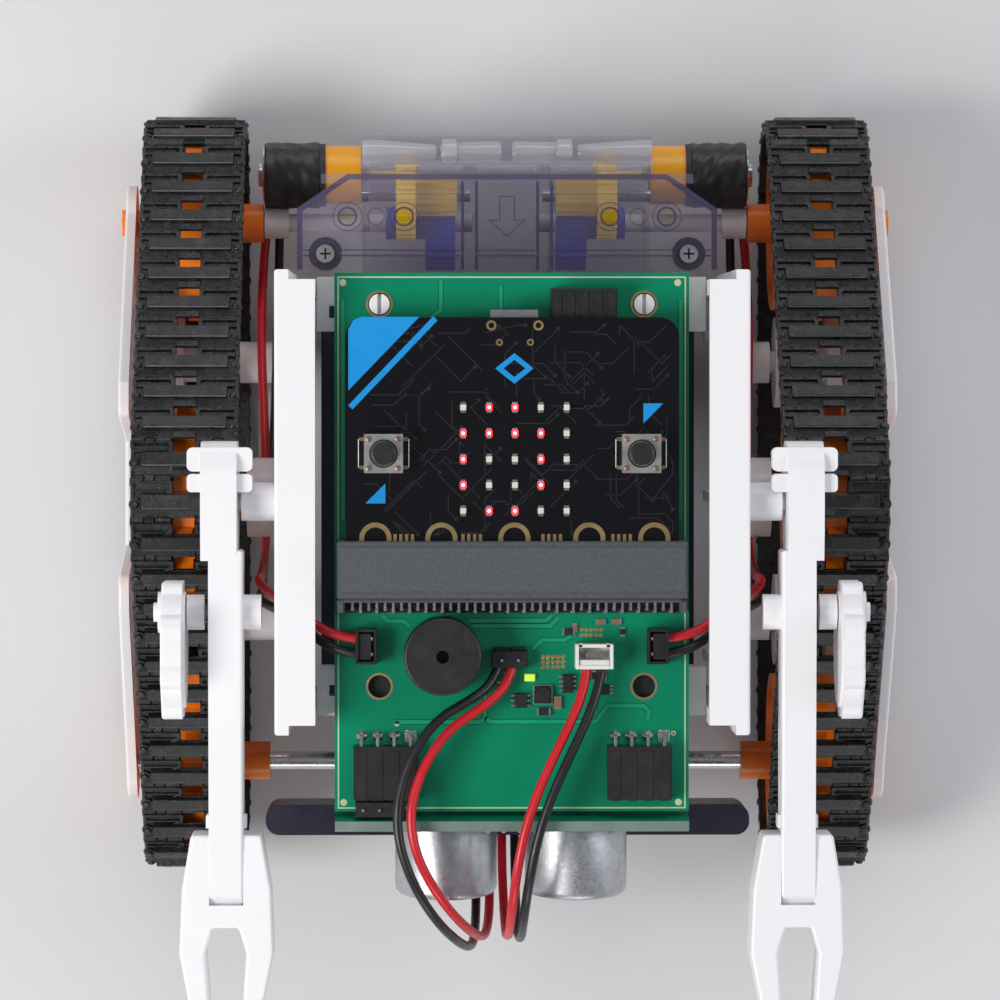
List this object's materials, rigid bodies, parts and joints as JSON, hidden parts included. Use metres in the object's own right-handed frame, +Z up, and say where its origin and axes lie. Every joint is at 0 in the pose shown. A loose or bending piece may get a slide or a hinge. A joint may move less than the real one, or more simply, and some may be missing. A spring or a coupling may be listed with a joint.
{
  "type": "tracked robot chassis",
  "caption": "Tracked robot base with triangular belts over toothed wheels, a geared motor drive, swinging arms on cam rollers and a control deck.",
  "frame": {"origin": "middle of the footprint, on the ground", "axes": "+X to the right, +Y to the rear, +Z up"},
  "size_m": [0.128, 0.1475, 0.1012],
  "materials": {
    "white_plastic": "satin moulded white",
    "orange_plastic": "satin moulded orange",
    "road_white": "satin moulded white",
    "track_black": "semi-gloss black",
    "smoke_plastic": "smoky navy",
    "clear_smoke": "clear smoky plastic",
    "steel": "bright steel",
    "motor_black": "black sleeve",
    "gear_yellow": "moulded yellow",
    "gear_blue": "moulded blue",
    "rubber_black": "soft black",
    "board_green": "solder mask green",
    "board_black": "solder mask black",
    "connector_grey": "grainy dark grey",
    "socket_black": "moulded black",
    "led_pale": "pale light bodies",
    "button_silver": "brushed",
    "transducer_metal": "grainy drawn metal",
    "lead_red": "soft red sleeve",
    "lead_black": "soft black sleeve"
  },
  "bodies": {
    "chassis": {"left_side_plate": "white_plastic", "right_side_plate": "white_plastic", "cross_blocks": "white_plastic", "lower_hull": "smoke_plastic", "battery_cover": "smoke_plastic", "battery_cells": "steel", "gearbox_base": "clear_smoke", "gearbox_cover": "clear_smoke", "gearbox_hardware": "steel", "motors": "motor_black", "front_axle": "steel", "fixed_axles": "white_plastic", "left_outer_frame": "white_plastic", "right_outer_frame": "white_plastic", "left_track_links": "track_black", "right_track_links": "track_black", "pivot_caps": "rubber_black", "main_board": "board_green", "controller_board": "board_black", "edge_connector": "connector_grey", "led_matrix": "led_pale", "button_bodies": "button_silver", "buzzer": "socket_black", "sockets": "socket_black", "sensor_board": "board_green", "transducers": "transducer_metal", "supply_lead_red": "lead_red", "supply_lead_black": "lead_black", "return_lead_red": "lead_red", "return_lead_black": "lead_black", "left_motor_lead_red": "lead_red", "left_motor_lead_black": "lead_black", "right_motor_lead_red": "lead_red", "right_motor_lead_black": "lead_black"},
    "right_drive": {"right_output_shaft": "steel", "right_output_gear": "gear_blue", "right_drive_wheel": "orange_plastic"},
    "right_idler_gear": {"right_idler_gear": "gear_yellow"},
    "right_motor_pinion": {"right_motor_pinion": "gear_yellow"},
    "right_front_wheel": {"right_front_wheel": "orange_plastic"},
    "right_apex_wheel": {"right_apex_wheel": "orange_plastic"},
    "right_rear_road_wheel": {"right_rear_road_wheel": "road_white"},
    "right_front_road_wheel": {"right_front_road_wheel": "road_white"},
    "right_arm": {"right_arm": "white_plastic", "right_hand": "white_plastic"},
    "right_cam": {"right_cam_wheel": "white_plastic"},
    "right_button": {"right_button": "socket_black"},
    "left_drive": {"left_output_shaft": "steel", "left_output_gear": "gear_blue", "left_drive_wheel": "orange_plastic"},
    "left_idler_gear": {"left_idler_gear": "gear_yellow"},
    "left_motor_pinion": {"left_motor_pinion": "gear_yellow"},
    "left_front_wheel": {"left_front_wheel": "orange_plastic"},
    "left_apex_wheel": {"left_apex_wheel": "orange_plastic"},
    "left_rear_road_wheel": {"left_rear_road_wheel": "road_white"},
    "left_front_road_wheel": {"left_front_road_wheel": "road_white"},
    "left_arm": {"left_arm": "white_plastic", "left_hand": "white_plastic"},
    "left_cam": {"left_cam_wheel": "white_plastic"},
    "left_button": {"left_button": "socket_black"}
  },
  "joints": [
    {"name": "right_drive_spin", "type": "hinge", "parent": "chassis", "child": "right_drive", "pos_m": [0.05165, 0.05592, 0.01816], "axis": [1, 0, 0], "continuous": true},
    {"name": "right_idler_gear_spin", "type": "hinge", "parent": "chassis", "child": "right_idler_gear", "pos_m": [0.015, 0.06021, 0.0278], "axis": [1, 0, 0], "continuous": true},
    {"name": "right_motor_pinion_spin", "type": "hinge", "parent": "chassis", "child": "right_motor_pinion", "pos_m": [0.015, 0.06391, 0.01899], "axis": [1, 0, 0], "continuous": true},
    {"name": "right_front_wheel_spin", "type": "hinge", "parent": "chassis", "child": "right_front_wheel", "pos_m": [0.05165, -0.03408, 0.01816], "axis": [1, 0, 0], "continuous": true},
    {"name": "right_apex_wheel_spin", "type": "hinge", "parent": "chassis", "child": "right_apex_wheel", "pos_m": [0.05165, 0.01092, 0.05756], "axis": [1, 0, 0], "continuous": true},
    {"name": "right_rear_road_wheel_spin", "type": "hinge", "parent": "chassis", "child": "right_rear_road_wheel", "pos_m": [0.05165, 0.03262, 0.01075], "axis": [1, 0, 0], "continuous": true},
    {"name": "right_front_road_wheel_spin", "type": "hinge", "parent": "chassis", "child": "right_front_road_wheel", "pos_m": [0.05165, -0.01078, 0.01075], "axis": [1, 0, 0], "continuous": true},
    {"name": "right_arm_swing", "type": "hinge", "parent": "chassis", "child": "right_arm", "pos_m": [0.04525, 0.01092, 0.088], "axis": [-1, 0, 0], "range_deg": [0, 22]},
    {"name": "right_cam_spin", "type": "hinge", "parent": "right_arm", "child": "right_cam", "pos_m": [0.053, -0.00618, 0.0906], "axis": [1, 0, 0], "continuous": true},
    {"name": "right_button_press", "type": "slide", "parent": "chassis", "child": "right_button", "axis": [0, 0, -1], "range_m": [0, 0.00025], "stiffness_N_per_m": 400, "springref_m": -0.0005},
    {"name": "left_drive_spin", "type": "hinge", "parent": "chassis", "child": "left_drive", "pos_m": [-0.05165, 0.05592, 0.01816], "axis": [1, 0, 0], "continuous": true},
    {"name": "left_idler_gear_spin", "type": "hinge", "parent": "chassis", "child": "left_idler_gear", "pos_m": [-0.015, 0.06021, 0.0278], "axis": [1, 0, 0], "continuous": true},
    {"name": "left_motor_pinion_spin", "type": "hinge", "parent": "chassis", "child": "left_motor_pinion", "pos_m": [-0.015, 0.06391, 0.01899], "axis": [1, 0, 0], "continuous": true},
    {"name": "left_front_wheel_spin", "type": "hinge", "parent": "chassis", "child": "left_front_wheel", "pos_m": [-0.05165, -0.03408, 0.01816], "axis": [1, 0, 0], "continuous": true},
    {"name": "left_apex_wheel_spin", "type": "hinge", "parent": "chassis", "child": "left_apex_wheel", "pos_m": [-0.05165, 0.01092, 0.05756], "axis": [1, 0, 0], "continuous": true},
    {"name": "left_rear_road_wheel_spin", "type": "hinge", "parent": "chassis", "child": "left_rear_road_wheel", "pos_m": [-0.05165, 0.03262, 0.01075], "axis": [1, 0, 0], "continuous": true},
    {"name": "left_front_road_wheel_spin", "type": "hinge", "parent": "chassis", "child": "left_front_road_wheel", "pos_m": [-0.05165, -0.01078, 0.01075], "axis": [1, 0, 0], "continuous": true},
    {"name": "left_arm_swing", "type": "hinge", "parent": "chassis", "child": "left_arm", "pos_m": [-0.04525, 0.01092, 0.088], "axis": [-1, 0, 0], "range_deg": [0, 22]},
    {"name": "left_cam_spin", "type": "hinge", "parent": "left_arm", "child": "left_cam", "pos_m": [-0.053, -0.00618, 0.0906], "axis": [1, 0, 0], "continuous": true},
    {"name": "left_button_press", "type": "slide", "parent": "chassis", "child": "left_button", "axis": [0, 0, -1], "range_m": [0, 0.00025], "stiffness_N_per_m": 400, "springref_m": -0.0005}
  ],
  "couplings": [
    {"joint": "right_idler_gear_spin", "follows": "right_drive_spin", "ratio": -2.5},
    {"joint": "right_motor_pinion_spin", "follows": "right_drive_spin", "ratio": 7},
    {"joint": "right_front_wheel_spin", "follows": "right_drive_spin", "ratio": 1},
    {"joint": "right_apex_wheel_spin", "follows": "right_drive_spin", "ratio": 1},
    {"joint": "right_rear_road_wheel_spin", "follows": "right_drive_spin", "ratio": 1.9946},
    {"joint": "right_front_road_wheel_spin", "follows": "right_drive_spin", "ratio": 1.9946},
    {"joint": "left_idler_gear_spin", "follows": "left_drive_spin", "ratio": -2.5},
    {"joint": "left_motor_pinion_spin", "follows": "left_drive_spin", "ratio": 7},
    {"joint": "left_front_wheel_spin", "follows": "left_drive_spin", "ratio": 1},
    {"joint": "left_apex_wheel_spin", "follows": "left_drive_spin", "ratio": 1},
    {"joint": "left_rear_road_wheel_spin", "follows": "left_drive_spin", "ratio": 1.9946},
    {"joint": "left_front_road_wheel_spin", "follows": "left_drive_spin", "ratio": 1.9946}
  ]
}
